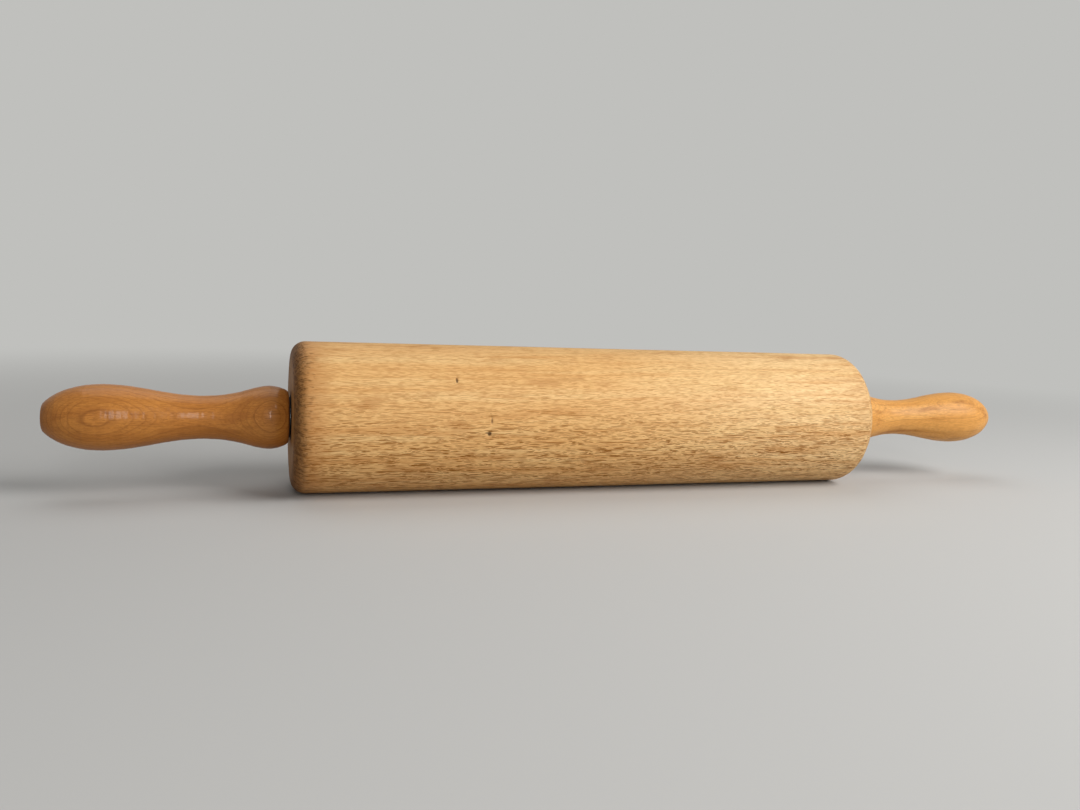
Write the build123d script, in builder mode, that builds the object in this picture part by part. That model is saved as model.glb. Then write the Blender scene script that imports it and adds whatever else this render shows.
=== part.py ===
from build123d import *
import os
from math import asin, degrees, sqrt

# Rolling pin: a beech roller that turns on a steel axle, with a turned handle screwed to each end.
# X runs along the axle, the origin is at the middle of the roller, Z is up. Lengths are millimetres.
# The right end is modelled, and its pieces are mirrored for the left end.

# Roller
roller_diameter = 60.0
roller_length = 253.0
roller_edge_radius = 5.5

# Axle: a plain steel rod, tapped at both ends for the handle screws
axle_diameter = 8.0
axle_chamfer = 0.6
axle_to_roller_clearance = 1.0
tapped_hole_depth = 16.0

# Bearing bushes: flanged sleeves pressed into the roller's ends
bush_length = 20.0
bush_wall = 2.0
bush_flange_width = 3.0
bush_flange_thickness = 1.5
bush_running_clearance = 0.05
bush_mouth_chamfer = 0.3

# Thrust washers, between each bush and its handle
thrust_washer_width = 3.8
thrust_washer_thickness = 0.5
thrust_washer_bore_clearance = 0.15
end_play = 0.3

# Handles
handle_length = 86.0
handle_collar_diameter = 24.7
handle_grip_diameter = 24.7
handle_neck_wall = 4.28
handle_tip_rim = 1.5
handle_tip_chamfer = 0.25
handle_bore_clearance = 0.02
handle_bore_mouth_chamfer = 0.5
wood_past_axle = 17.0

# Handle screws, each with a washer at the bottom of a counterbore, under a glued plug
screw_diameter = 3.0
screw_head_width = 1.25
screw_head_height = 2.0
screw_slot_width = 0.8
screw_slot_depth = 0.9
screw_chamfer = 0.3
screw_reach = 13.0
screw_thread_clearance = 0.02
screw_hole_clearance = 0.15
screw_washer_width = 1.85
screw_washer_thickness = 0.5
counterbore_clearance = 0.1
screw_to_plug_gap = 2.0
plug_thickness = 5.0
plug_clearance = 0.02
plug_chamfer = 0.3

# The handle's outline: places along it as shares of its length from the inner face
collar_place_share = 0.084
neck_place_share = 0.366
grip_place_share = 0.77

# Its inner face as a share of the collar's width, and how far each of its curves
# runs straight on from its ends, as shares of the curve's own length or height
face_width_share = 0.80
shoulder_run_share = 0.06
shoulder_rise_share = 0.42
shoulder_crest_share = 0.50
collar_crest_share = 0.25
neck_entry_share = 0.56
neck_exit_share = 0.38
grip_crest_share = 0.38

# Sizes that follow
axle_radius = axle_diameter / 2
bush_bore_radius = axle_radius + bush_running_clearance
bush_radius = bush_bore_radius + bush_wall
bush_flange_radius = bush_radius + bush_flange_width
thrust_washer_bore_radius = axle_radius + thrust_washer_bore_clearance
screw_radius = screw_diameter / 2
screw_hole_radius = screw_radius + screw_hole_clearance
screw_washer_radius = screw_hole_radius + screw_washer_width
counterbore_radius = screw_washer_radius + counterbore_clearance
counterbore_depth = screw_washer_thickness + screw_head_height + screw_to_plug_gap + plug_thickness
handle_bore_radius = axle_radius + handle_bore_clearance
neck_radius = handle_bore_radius + handle_neck_wall
collar_radius = handle_collar_diameter / 2
face_radius = face_width_share * collar_radius
grip_radius = handle_grip_diameter / 2
tip_radius = counterbore_radius + handle_tip_rim

# Places along X that follow, for the right end
roller_end = roller_length / 2
handle_start = roller_end + end_play + thrust_washer_thickness
handle_end = handle_start + handle_length
counterbore_floor = handle_end - counterbore_depth
screw_seat = counterbore_floor + screw_washer_thickness
axle_end = counterbore_floor - wood_past_axle
collar_x = handle_start + collar_place_share * handle_length
neck_x = handle_start + neck_place_share * handle_length
grip_x = handle_start + grip_place_share * handle_length

# The grip ends in a dome, part of an ellipse that the flat tip cuts off
tip_height_share = tip_radius / grip_radius
dome_reach = (handle_end - grip_x) / sqrt(1 - tip_height_share**2)
dome_start_angle = degrees(asin(tip_height_share))


def washer(start, thickness, outer_radius, inner_radius):
    """Makes a flat ring round the axle.

    Args:
        start: X of the ring's face nearer the roller.
        thickness: its size along X.
        outer_radius: radius of its rim.
        inner_radius: radius of its hole.

    Returns:
        The ring as a part.
    """
    with BuildPart() as ring:
        with BuildSketch(Plane.YZ.offset(start)):
            Circle(outer_radius)
            Circle(inner_radius, mode=Mode.SUBTRACT)
        extrude(amount=thickness)
    return ring.part


def write(piece, name):
    """Labels a piece and writes it to its own file.

    Args:
        piece: the finished part.
        name: its label and the name of its file.
    """
    piece.label = name
    export_step(piece, f"parts/{name}.step")


# Roller: a cylinder with rounded rims, drilled through, with a stepped seat for each bush
with BuildPart() as roller:
    with BuildSketch(Plane.YZ):
        Circle(roller_diameter / 2)
    extrude(amount=roller_end, both=True)
    fillet(roller.edges().filter_by(GeomType.CIRCLE), radius=roller_edge_radius)
    for end_face in roller.faces().filter_by(Axis.X):
        with Locations(Plane(end_face)):
            Hole(bush_flange_radius, depth=bush_flange_thickness)
            Hole(bush_radius, depth=bush_length)
    with Locations(Plane.YZ.offset(roller_end)):
        Hole(axle_radius + axle_to_roller_clearance, depth=roller_length)

# Axle: the rod, with a chamfer and a tapped hole at each end
with BuildPart() as axle:
    with BuildSketch(Plane.YZ):
        Circle(axle_radius)
    extrude(amount=axle_end, both=True)
    chamfer(axle.edges().filter_by(GeomType.CIRCLE), length=axle_chamfer)
    for end_face in axle.faces().filter_by(Axis.X):
        with Locations(Plane(end_face)):
            Hole(screw_radius + screw_thread_clearance, depth=tapped_hole_depth)

# Bearing bush: the sleeve lies in the roller, with its flange flush with the roller's end
with BuildPart() as bearing_bush:
    with BuildSketch(Plane.YZ.offset(roller_end)):
        Circle(bush_flange_radius)
    extrude(amount=-bush_flange_thickness)
    with BuildSketch(Plane.YZ.offset(roller_end)):
        Circle(bush_radius)
    extrude(amount=-bush_length)
    with Locations(Plane.YZ.offset(roller_end)):
        Hole(bush_bore_radius, depth=bush_length)
    bush_bore = bearing_bush.faces().filter_by(GeomType.CYLINDER).sort_by(SortBy.RADIUS)[0]
    chamfer(bush_bore.edges(), length=bush_mouth_chamfer)

# Thrust washer: it rides on the axle, against the handle's inner face
thrust_washer = washer(
    handle_start - thrust_washer_thickness,
    thrust_washer_thickness,
    thrust_washer_bore_radius + thrust_washer_width,
    thrust_washer_bore_radius,
)

# Handle: shoulder, collar, neck, swelling grip and a dome that is cut off flat
shoulder_length = collar_x - handle_start
neck_entry_length = neck_x - collar_x
neck_exit_length = grip_x - neck_x
with BuildPart() as handle:
    with BuildSketch(Plane.XY):
        with BuildLine():
            Bezier(
                (handle_start, face_radius),
                (
                    handle_start + shoulder_run_share * shoulder_length,
                    face_radius + shoulder_rise_share * (collar_radius - face_radius),
                ),
                (collar_x - shoulder_crest_share * shoulder_length, collar_radius),
                (collar_x, collar_radius),
            )
            Bezier(
                (collar_x, collar_radius),
                (collar_x + collar_crest_share * neck_entry_length, collar_radius),
                (neck_x - neck_entry_share * neck_entry_length, neck_radius),
                (neck_x, neck_radius),
            )
            Bezier(
                (neck_x, neck_radius),
                (neck_x + neck_exit_share * neck_exit_length, neck_radius),
                (grip_x - grip_crest_share * neck_exit_length, grip_radius),
                (grip_x, grip_radius),
            )
            EllipticalCenterArc(
                (grip_x, 0),
                dome_reach,
                grip_radius,
                start_angle=dome_start_angle,
                arc_size=90 - dome_start_angle,
            )
            Polyline(
                (handle_end, tip_radius),
                (handle_end, 0),
                (handle_start, 0),
                (handle_start, face_radius),
            )
        make_face()
    revolve(axis=Axis.X)
    end_faces = handle.faces().filter_by(Axis.X).sort_by(Axis.X)
    chamfer(end_faces[-1].edges(), length=handle_tip_chamfer)
    with Locations(Plane.YZ.offset(handle_end)):
        Hole(counterbore_radius, depth=counterbore_depth)
        Hole(screw_hole_radius, depth=handle_length)
    with Locations(-Plane.YZ.offset(handle_start)):
        Hole(handle_bore_radius, depth=axle_end - handle_start)
    inner_face = handle.faces().filter_by(Axis.X).sort_by(Axis.X)[0]
    bore_mouth = inner_face.edges().sort_by(SortBy.LENGTH)[0]
    chamfer(bore_mouth, length=handle_bore_mouth_chamfer)

# Washer under the screw's head
screw_washer = washer(
    counterbore_floor,
    screw_washer_thickness,
    screw_washer_radius,
    screw_hole_radius,
)

# Handle screw: slotted head, and a plain shank that reaches into the axle's tapped hole
with BuildPart() as handle_screw:
    with BuildSketch(Plane.YZ.offset(screw_seat)):
        Circle(screw_radius + screw_head_width)
    extrude(amount=screw_head_height)
    chamfer(handle_screw.edges().sort_by(Axis.X)[-1], length=screw_chamfer)
    with BuildSketch(Plane.YZ.offset(screw_seat)):
        Circle(screw_radius)
    extrude(amount=axle_end - screw_reach - screw_seat)
    chamfer(handle_screw.edges().sort_by(Axis.X)[0], length=screw_chamfer)
    with BuildSketch(Plane.YZ.offset(screw_seat + screw_head_height)):
        Rectangle(2 * (screw_radius + screw_head_width), screw_slot_width)
    extrude(amount=-screw_slot_depth, mode=Mode.SUBTRACT)

# End plug: it closes the counterbore, flush with the handle's flat tip
with BuildPart() as end_plug:
    with BuildSketch(Plane.YZ.offset(handle_end)):
        Circle(counterbore_radius - plug_clearance)
    extrude(amount=-plug_thickness)
    plug_floor = end_plug.faces().filter_by(Axis.X).sort_by(Axis.X)[0]
    chamfer(plug_floor.edges(), length=plug_chamfer)

right_end_pieces = {
    "bearing_bush": bearing_bush.part,
    "thrust_washer": thrust_washer,
    "handle": handle.part,
    "screw_washer": screw_washer,
    "handle_screw": handle_screw.part,
    "end_plug": end_plug.part,
}

os.makedirs("parts", exist_ok=True)
write(roller.part, "roller")
write(axle.part, "axle")
for piece_name, piece in right_end_pieces.items():
    write(mirror(piece, about=Plane.YZ), f"left_{piece_name}")
    write(piece, f"right_{piece_name}")
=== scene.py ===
"""Looks of a rolling pin: a bare beech roller between two varnished beech handles.

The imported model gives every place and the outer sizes. A field whose name ends in _mm is in
millimetres, and Blender's own lengths are metres.
"""

import logging
import math
from collections.abc import Callable, Mapping, Sequence
from dataclasses import dataclass, replace
from enum import Enum

import bpy
import numpy as np
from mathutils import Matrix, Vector

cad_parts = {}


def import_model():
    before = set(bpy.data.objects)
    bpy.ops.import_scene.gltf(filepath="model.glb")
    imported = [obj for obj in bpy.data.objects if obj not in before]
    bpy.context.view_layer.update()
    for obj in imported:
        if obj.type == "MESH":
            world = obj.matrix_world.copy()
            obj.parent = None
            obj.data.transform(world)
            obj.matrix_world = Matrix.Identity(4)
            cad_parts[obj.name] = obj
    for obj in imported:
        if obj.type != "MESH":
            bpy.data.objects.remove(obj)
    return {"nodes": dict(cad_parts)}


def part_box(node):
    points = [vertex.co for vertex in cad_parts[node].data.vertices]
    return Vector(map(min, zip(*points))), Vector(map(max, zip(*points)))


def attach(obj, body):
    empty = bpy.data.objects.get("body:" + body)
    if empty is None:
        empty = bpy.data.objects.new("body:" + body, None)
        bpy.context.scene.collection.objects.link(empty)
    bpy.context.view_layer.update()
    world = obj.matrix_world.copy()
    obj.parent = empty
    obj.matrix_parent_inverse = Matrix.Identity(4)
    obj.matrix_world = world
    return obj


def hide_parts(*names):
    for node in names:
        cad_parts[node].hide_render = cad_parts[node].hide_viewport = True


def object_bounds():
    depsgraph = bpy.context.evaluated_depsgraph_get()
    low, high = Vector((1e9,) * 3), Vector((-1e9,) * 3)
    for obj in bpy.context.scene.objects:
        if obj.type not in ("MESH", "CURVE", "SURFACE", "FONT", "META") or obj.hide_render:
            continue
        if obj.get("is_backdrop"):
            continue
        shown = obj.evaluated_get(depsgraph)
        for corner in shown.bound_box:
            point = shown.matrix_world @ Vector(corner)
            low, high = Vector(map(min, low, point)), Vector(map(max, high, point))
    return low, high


MM = 0.001
MAP_NAME = "OFBake"
WEAR_NAME = "wear"

# Socket numbers of a colour Mix node, whose names repeat
MIX_FACTOR, MIX_A, MIX_B, MIX_RESULT = 0, 6, 7, 2

# The average of Blender's noise, and a direction's parts across the axis
NOISE_MEAN = 0.5
ACROSS = (0.0, 1.0, 1.0)

# How far a finish's roughness goes to either side of its own value
ROUGHNESS_SPREAD = 0.1

Wear = Callable[[np.ndarray, np.ndarray, np.ndarray], np.ndarray]

log = logging.getLogger("rolling_pin")


class Side(Enum):
    """An end of the rolling pin, with its direction along X."""

    LEFT = -1
    RIGHT = 1

    @property
    def word(self) -> str:
        """The side's word in the nodes' names."""
        return self.name.lower()


class Body(Enum):
    """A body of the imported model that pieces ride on."""

    HANDLES = "handles_and_axle"
    ROLLER = "roller"


def linear(colour: str) -> tuple[float, float, float, float]:
    """Turns an sRGB hex colour into linear light, by the curve of the sRGB standard.

    Args:
        colour: six hex digits after a number sign.

    Returns:
        Red, green, blue and an alpha of 1.
    """
    parts = [int(colour[i : i + 2], 16) / 255 for i in (1, 3, 5)]
    red, green, blue = (c / 12.92 if c <= 0.04045 else ((c + 0.055) / 1.055) ** 2.4 for c in parts)
    return red, green, blue, 1.0


def add_node(
    tree: bpy.types.NodeTree,
    kind: str,
    inputs: Mapping[str | int, object] | None = None,
    **settings: object,
) -> bpy.types.Node:
    """Adds a node with its settings and links.

    Args:
        tree: the node tree that gets the node.
        kind: Blender's name of the node's type.
        inputs: for each input, by name or number, a value or the socket it is linked from.
        settings: the node's own properties.

    Returns:
        The new node.
    """
    node = tree.nodes.new(kind)
    for name, value in settings.items():
        setattr(node, name, value)
    for key, value in (inputs or {}).items():
        if isinstance(value, bpy.types.NodeSocket):
            tree.links.new(value, node.inputs[key])
        else:
            node.inputs[key].default_value = value
    return node


def blank_material(name: str) -> bpy.types.Material:
    """Makes a material whose node tree is empty.

    Args:
        name: the material's name.

    Returns:
        The material.
    """
    material = bpy.data.materials.new(name)
    material.use_nodes = True
    material.node_tree.nodes.clear()
    return material


def bezier(points: Sequence[tuple[float, float]], count: int) -> list[tuple[float, float]]:
    """Follows a cubic Bezier curve, without its last point.

    Args:
        points: its start, two handles and end, as place along X and radius.
        count: how many points to give.

    Returns:
        The points, evenly spaced in the curve's own parameter.
    """
    made = []
    for t in np.arange(count) / count:
        weights = ((1 - t) ** 3, 3 * t * (1 - t) ** 2, 3 * t**2 * (1 - t), t**3)
        made.append(tuple(sum(w * p[axis] for w, p in zip(weights, points)) for axis in (0, 1)))
    return made


def arc(
    centre: tuple[float, float], reach: tuple[float, float], degrees: tuple[float, float], count: int
) -> list[tuple[float, float]]:
    """Follows an arc of an ellipse, both ends included.

    Args:
        centre: place along X and radius of the ellipse's centre.
        reach: its half lengths along X and outwards.
        degrees: first and last angle, from the X direction towards outwards.
        count: how many points to give.

    Returns:
        The points in order.
    """
    turn = np.radians(np.linspace(*degrees, count))
    return [(centre[0] + reach[0] * math.cos(a), centre[1] + reach[1] * math.sin(a)) for a in turn]


def run(corners: Sequence[tuple[float, float]], steps_mm: Sequence[float]) -> list[tuple[float, float]]:
    """Divides the straight lines between corners, without the last corner.

    Args:
        corners: place along X and radius of each corner.
        steps_mm: for each line, the largest distance between two points.

    Returns:
        The points in order.
    """
    made = []
    for start, end, step_mm in zip(corners, corners[1:], steps_mm):
        count = max(1, math.ceil(math.dist(start, end) / (step_mm * MM)))
        first, way = np.array(start), np.array(end) - np.array(start)
        made += [tuple(first + way * i / count) for i in range(count)]
    return made


@dataclass(frozen=True)
class Lathe:
    """Turns outlines round the X axis into closed meshes."""

    segments: int
    sharp_deg: float = 32.0

    def turn(
        self, name: str, outline: Sequence[tuple[float, float]], wear: Wear | None = None
    ) -> bpy.types.Object:
        """Turns one closed outline into a mesh object.

        Args:
            name: the object's name.
            outline: place along X and radius of each point; the last joins the first.
            wear: gives how far the surface is worn inwards, from place, radius and angle.

        Returns:
            The object, with a map along and round it and its wear as an attribute.
        """
        points = np.array(outline, float)
        count, around = len(points), self.segments
        place, radius = (np.repeat(points[:, axis], around) for axis in (0, 1))
        angle = np.tile(np.arange(around) * 2 * np.pi / around, count)
        worn = wear(place, radius, angle) if wear else np.zeros_like(place)
        inward = np.repeat(self._inward(points), around, axis=0)
        place, radius = place + inward[:, 0] * worn, radius + inward[:, 1] * worn
        corners = np.stack([place, -radius * np.cos(angle), radius * np.sin(angle)], axis=1)

        ring, step = (a.ravel() for a in np.meshgrid(np.arange(count), np.arange(around), indexing="ij"))
        next_ring, next_step = (ring + 1) % count, (step + 1) % around
        faces = np.stack(
            [
                ring * around + step,
                next_ring * around + step,
                next_ring * around + next_step,
                ring * around + next_step,
            ],
            axis=1,
        )
        mesh = bpy.data.meshes.new(name)
        mesh.from_pydata(corners.tolist(), [], faces.tolist())
        self._map(mesh, points, ring, step)
        shown = mesh.attributes.new(WEAR_NAME, "FLOAT", "POINT")
        shown.data.foreach_set("value", (worn / MM).astype(np.float32))
        mesh.polygons.foreach_set("use_smooth", np.ones(len(faces), bool))
        mesh.set_sharp_from_angle(angle=math.radians(self.sharp_deg))
        mesh.update()
        made = bpy.data.objects.new(name, mesh)
        bpy.context.scene.collection.objects.link(made)
        return made

    def _inward(self, points: np.ndarray) -> np.ndarray:
        """Gives the unit direction into the wood at each point of a closed outline.

        Args:
            points: place and radius of each point, clockwise as the radius is drawn upwards.

        Returns:
            One direction for each point.
        """
        along = np.roll(points, -1, axis=0) - np.roll(points, 1, axis=0)
        along /= np.linalg.norm(along, axis=1, keepdims=True)
        return np.stack([along[:, 1], -along[:, 0]], axis=1)

    def _map(self, mesh: bpy.types.Mesh, points: np.ndarray, ring: np.ndarray, step: np.ndarray) -> None:
        """Unrolls the surface into one map: along the outline across, round the axis up.

        Args:
            mesh: the mesh that gets the map.
            points: the outline.
            ring: the outline point that each face starts from.
            step: the place round the axis that each face starts from.
        """
        lengths = np.linalg.norm(np.roll(points, -1, axis=0) - points, axis=1)
        across = np.concatenate([[0.0], np.cumsum(lengths)]) / lengths.sum()
        low, high = step / self.segments, (step + 1) / self.segments
        start, end = across[ring], across[ring + 1]
        places = np.stack([start, low, end, low, end, high, start, high], axis=1)
        layer = mesh.uv_layers.new(name=MAP_NAME)
        layer.uv.foreach_set("vector", places.astype(np.float32).ravel())


@dataclass(frozen=True)
class Dent:
    """A small hollow that use has left in a turned surface, with soft edges."""

    place_mm: float
    angle_deg: float
    length_mm: float
    width_mm: float
    depth_mm: float
    steepness: float = 2.5

    def depth(self, place: np.ndarray, radius: np.ndarray, angle: np.ndarray) -> np.ndarray:
        """Gives the hollow's depth in metres.

        Args:
            place: each point's X.
            radius: each point's distance from the axis.
            angle: each point's angle round it, from the front towards the top.

        Returns:
            The depth at each point.
        """
        turned = (angle - math.radians(self.angle_deg) + np.pi) % (2 * np.pi) - np.pi
        along = (place / MM - self.place_mm) / self.length_mm
        round_it = turned * radius / MM / self.width_mm
        return self.depth_mm * MM * np.exp(-self.steepness * (along**2 + round_it**2))


@dataclass(frozen=True)
class Knocks:
    """Hollows of one kind in chance places, with the least and most of each size."""

    count: int
    length_mm: tuple[float, float]
    width_mm: tuple[float, float]
    depth_mm: tuple[float, float]

    def scatter(self, chance: np.random.Generator, between_mm: tuple[float, float]) -> list[Dent]:
        """Draws the hollows.

        Args:
            chance: the source of the draws.
            between_mm: the stretch along X that they lie on.

        Returns:
            The hollows, anywhere round the axis.
        """
        ranges = (between_mm, (0.0, 360.0), self.length_mm, self.width_mm, self.depth_mm)
        draws = (
            [low + (high - low) * chance.random() for low, high in ranges] for _ in range(self.count)
        )
        return [Dent(*draw) for draw in draws]


@dataclass(frozen=True)
class Layer:
    """A colour laid over others where a value is high."""

    colour: str
    value: bpy.types.NodeSocket
    low: float
    high: float
    strength: float


def lay_over(tree: bpy.types.NodeTree, under: object, layers: Sequence[Layer]) -> bpy.types.NodeSocket:
    """Lays colours over each other with soft edges.

    Args:
        tree: the material's nodes.
        under: the lowest colour, or the socket that gives it.
        layers: the colours that go over it, in order.

    Returns:
        The socket with the finished colour.
    """
    for layer in layers:
        share = add_node(
            tree,
            "ShaderNodeMapRange",
            {"Value": layer.value, "From Min": layer.low, "From Max": layer.high, "To Max": layer.strength},
            interpolation_type="SMOOTHSTEP",
        ).outputs[0]
        under = add_node(
            tree,
            "ShaderNodeMix",
            {MIX_FACTOR: share, MIX_A: under, MIX_B: linear(layer.colour)},
            data_type="RGBA",
        ).outputs[MIX_RESULT]
    return under


def drawn_out(
    tree: bpy.types.NodeTree, place: bpy.types.NodeSocket, size_mm: tuple[float, float], detail: float = 2.0
) -> bpy.types.NodeSocket:
    """Makes a noise that is drawn out along X.

    Args:
        tree: the material's nodes.
        place: the place in millimetres.
        size_mm: the noise's size along X and across it.
        detail: how many finer noises it holds.

    Returns:
        The socket with the noise, about 0.5 on average.
    """
    along, across = size_mm
    scaled = add_node(
        tree, "ShaderNodeVectorMath", {0: place, 1: (along, across, across)}, operation="DIVIDE"
    ).outputs[0]
    return add_node(
        tree, "ShaderNodeTexNoise", {"Vector": scaled, "Scale": 1.0, "Detail": detail}
    ).outputs[0]


@dataclass(frozen=True)
class Figure:
    """An irregular pattern in the wood: its size along and across the grain, and how it shows."""

    size_mm: tuple[float, float]
    low: float
    high: float
    strength: float
    detail: float = 2.0

    def layer(self, tree: bpy.types.NodeTree, place: bpy.types.NodeSocket, colour: str) -> Layer:
        """Makes the layer that draws this pattern in one colour."""
        value = drawn_out(tree, place, self.size_mm, self.detail)
        return Layer(colour, value, self.low, self.high, self.strength)


@dataclass(frozen=True)
class RimDirtAndShade:
    """Dirt and oil that hands and dough have worked into the two ends of a roller, with painted shade: a
    smooth dark band on the rounded rims and a darker stain near them, much stronger at the first end than at
    the second.

    The last three fields give where on the way to the rim a layer starts, where it is full, and
    how strong it is there.
    """

    ends_mm: tuple[float, float]
    # How strong each end's darkening is; the first end's is much stronger, partly as painted shade
    strengths: tuple[float, float] = (1.0, 0.2)
    reach_mm: float = 19.0
    face_radii_mm: tuple[float, float] = (18.0, 29.4)
    face_shares: tuple[float, float] = (0.5, 0.95)
    blot_mm: tuple[float, float] = (2.0, 1.3)
    blot_detail: float = 4.0
    in_rays: float = 0.22
    stained_and_shaded: tuple[float, float, float] = (0.05, 0.95, 0.75)
    oiled_and_shaded: tuple[float, float, float] = (0.6, 1.0, 0.6)
    speckled: tuple[float, float, float] = (0.3, 0.64, 0.68)


@dataclass(frozen=True)
class Grain:
    """Sockets that tell where a point is in the log, in millimetres and radians."""

    place: bpy.types.NodeSocket
    along: bpy.types.NodeSocket
    out: bpy.types.NodeSocket
    around: bpy.types.NodeSocket


# How dark a growth ring is at each share of its year, palest in spring and darkest in late summer
RING_PROFILE = ((0.0, 0.4), (0.06, 0.0), (0.45, 0.12), (0.78, 0.45), (0.93, 1.0), (1.0, 0.4))

# The size and the darkness of the broad rays and of the fine ones
RAY_KINDS = ((1.0, 1.0), (0.55, 0.85))


@dataclass(frozen=True)
class BeechFinish:
    """Beech as one solid block of wood, so that every face of a piece shows the right cut of it.

    The tree's heart runs beside the piece. Round it lie the growth rings, and out from it run the
    rays: thin upright sheets that show as short dark dashes on a face along the rings, as wider
    flakes on a face across them, and as fine lines on end grain. Real rays are 1 to 4 mm long and
    up to 0.2 mm thick, and ray_pitch_mm is the room that each has. ray_slip_mm slides their rows
    along the grain, by up to its first size, so that they never stand in columns. The wood's fibres
    and vessels are under 0.1 mm wide, too fine to show, so fibre_mm draws them about four times as
    coarse.
    """

    name: str
    early_wood: str
    late_wood: str
    pale_streak: str
    dark_streak: str
    stain_and_shade: str
    ray: str
    grime_and_shade: str
    # The heart's distance from the piece's axis, and its angle round that axis
    heart_mm: float
    heart_deg: float
    # An end painted paler as painted light, and the irregular patterns of paler, darker and stained wood
    painted_light_end: str | None = None
    painted_light_end_mm: tuple[float, float] = (-20.0, 95.0)
    painted_light_end_strength: float = 0.6
    pale_figure: Figure = Figure((120.0, 5.0), 0.46, 0.68, 0.6)
    dark_figure: Figure = Figure((70.0, 3.2), 0.5, 0.72, 0.55)
    stain_and_shade_figure: Figure = Figure((17.0, 6.5), 0.55, 0.72, 0.4, detail=4.0)
    # How the trunk leans and bends
    lean_deg: tuple[float, float] = (0.7, 1.2)
    bend_mm: float = 3.5
    bend_length_mm: float = 85.0
    # Growth rings: their width and strength, how they wave, and how they differ
    ring_mm: float = 2.8
    ring_strength: float = 0.5
    ring_wobble_mm: tuple[float, float] = (60.0, 11.0)
    ring_wobble: float = 0.9
    ring_unevenness: float = 0.35
    faintest_ring: float = 0.3
    # Rays: each one's room along, round and out from the heart, its row's slide, and how it shows
    ray_pitch_mm: tuple[float, float, float] = (5.2, 0.25, 8.0)
    ray_slip_mm: tuple[float, float] = (30.0, 2.0)
    ray_reach: tuple[float, float] = (-0.03, 0.6)
    ray_edge: tuple[float, float] = (-0.04, 0.12)
    ray_strength: float = 1.0
    faintest_ray: float = 0.75
    flake_share: float = 0.3
    flake_sharpness: float = 6.0
    # Fibres, and the fuzz that sanding leaves
    fibre_mm: tuple[float, float] = (3.2, 0.3)
    fibre_edge: tuple[float, float] = (0.42, 0.66)
    fibre_strength: float = 0.55
    fuzz_mm: float = 0.7
    # Dirt in hollows of this depth, dirt and painted shade on the rims, and the darker end grain, partly its
    # own darker tone and partly painted shade
    worn_edge_mm: tuple[float, float] = (0.14, 0.4)
    worn_strength: float = 0.85
    rim_dirt_and_shade: RimDirtAndShade | None = None
    end_grain_rings: float = 0.6
    end_grain_from: float = 0.4
    end_grain_shade: float = 0.36
    # The surface, its varnish and its relief
    roughness: float = 0.54
    gloss: float = 0.4
    pore_gloss: float = 0.05
    ior: float = 1.5
    varnish: float = 0.0
    varnish_roughness: float = 0.2
    relief_mm: float = 0.03
    ring_relief: float = 0.3
    ray_relief: float = -0.7

    def build(self) -> bpy.types.Material:
        """Makes the material.

        Returns:
            The material, ready for a slot.
        """
        material = blank_material(self.name)
        tree = material.node_tree
        grain = self._grain(tree)
        rings = self._rings(tree, grain)
        rays = self._rays(tree, grain)
        fibres = drawn_out(tree, grain.place, self.fibre_mm, 1.0)
        end_grain = self._end_grain(tree)
        end_rings = add_node(
            tree, "ShaderNodeMath", {0: rings, 1: end_grain}, operation="MULTIPLY"
        ).outputs[0]
        flecks = add_node(
            tree, "ShaderNodeMath", {0: rays, 1: self._cut_along_rings(tree)}, operation="MULTIPLY"
        ).outputs[0]
        # Painted light: the wood painted paler towards one end, as if lit more strongly there
        painted_light = []
        if self.painted_light_end:
            painted_light.append(Layer(self.painted_light_end, grain.along, *self.painted_light_end_mm, self.painted_light_end_strength))
        colour = lay_over(
            tree,
            linear(self.early_wood),
            [
                *painted_light,
                self.pale_figure.layer(tree, grain.place, self.pale_streak),
                self.dark_figure.layer(tree, grain.place, self.dark_streak),
                Layer(self.late_wood, rings, 0.0, 1.0, self.ring_strength),
                self.stain_and_shade_figure.layer(tree, grain.place, self.stain_and_shade),
                Layer(self.late_wood, end_rings, 0.0, 1.0, self.end_grain_rings),
                Layer(self.late_wood, fibres, *self.fibre_edge, self.fibre_strength),
                Layer(self.ray, flecks, 0.0, 1.0, self.ray_strength),
                # End grain darkened, partly its own darker tone and partly painted shade; then dirt in the
                # dents, and dirt with painted shade on the rims
                Layer(self.grime_and_shade, end_grain, self.end_grain_from, 1.0, self.end_grain_shade),
                *self._grime_and_shade(tree, rays),
            ],
        )
        self._shade(tree, grain.place, colour, (rings, rays, fibres))
        return material

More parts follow.
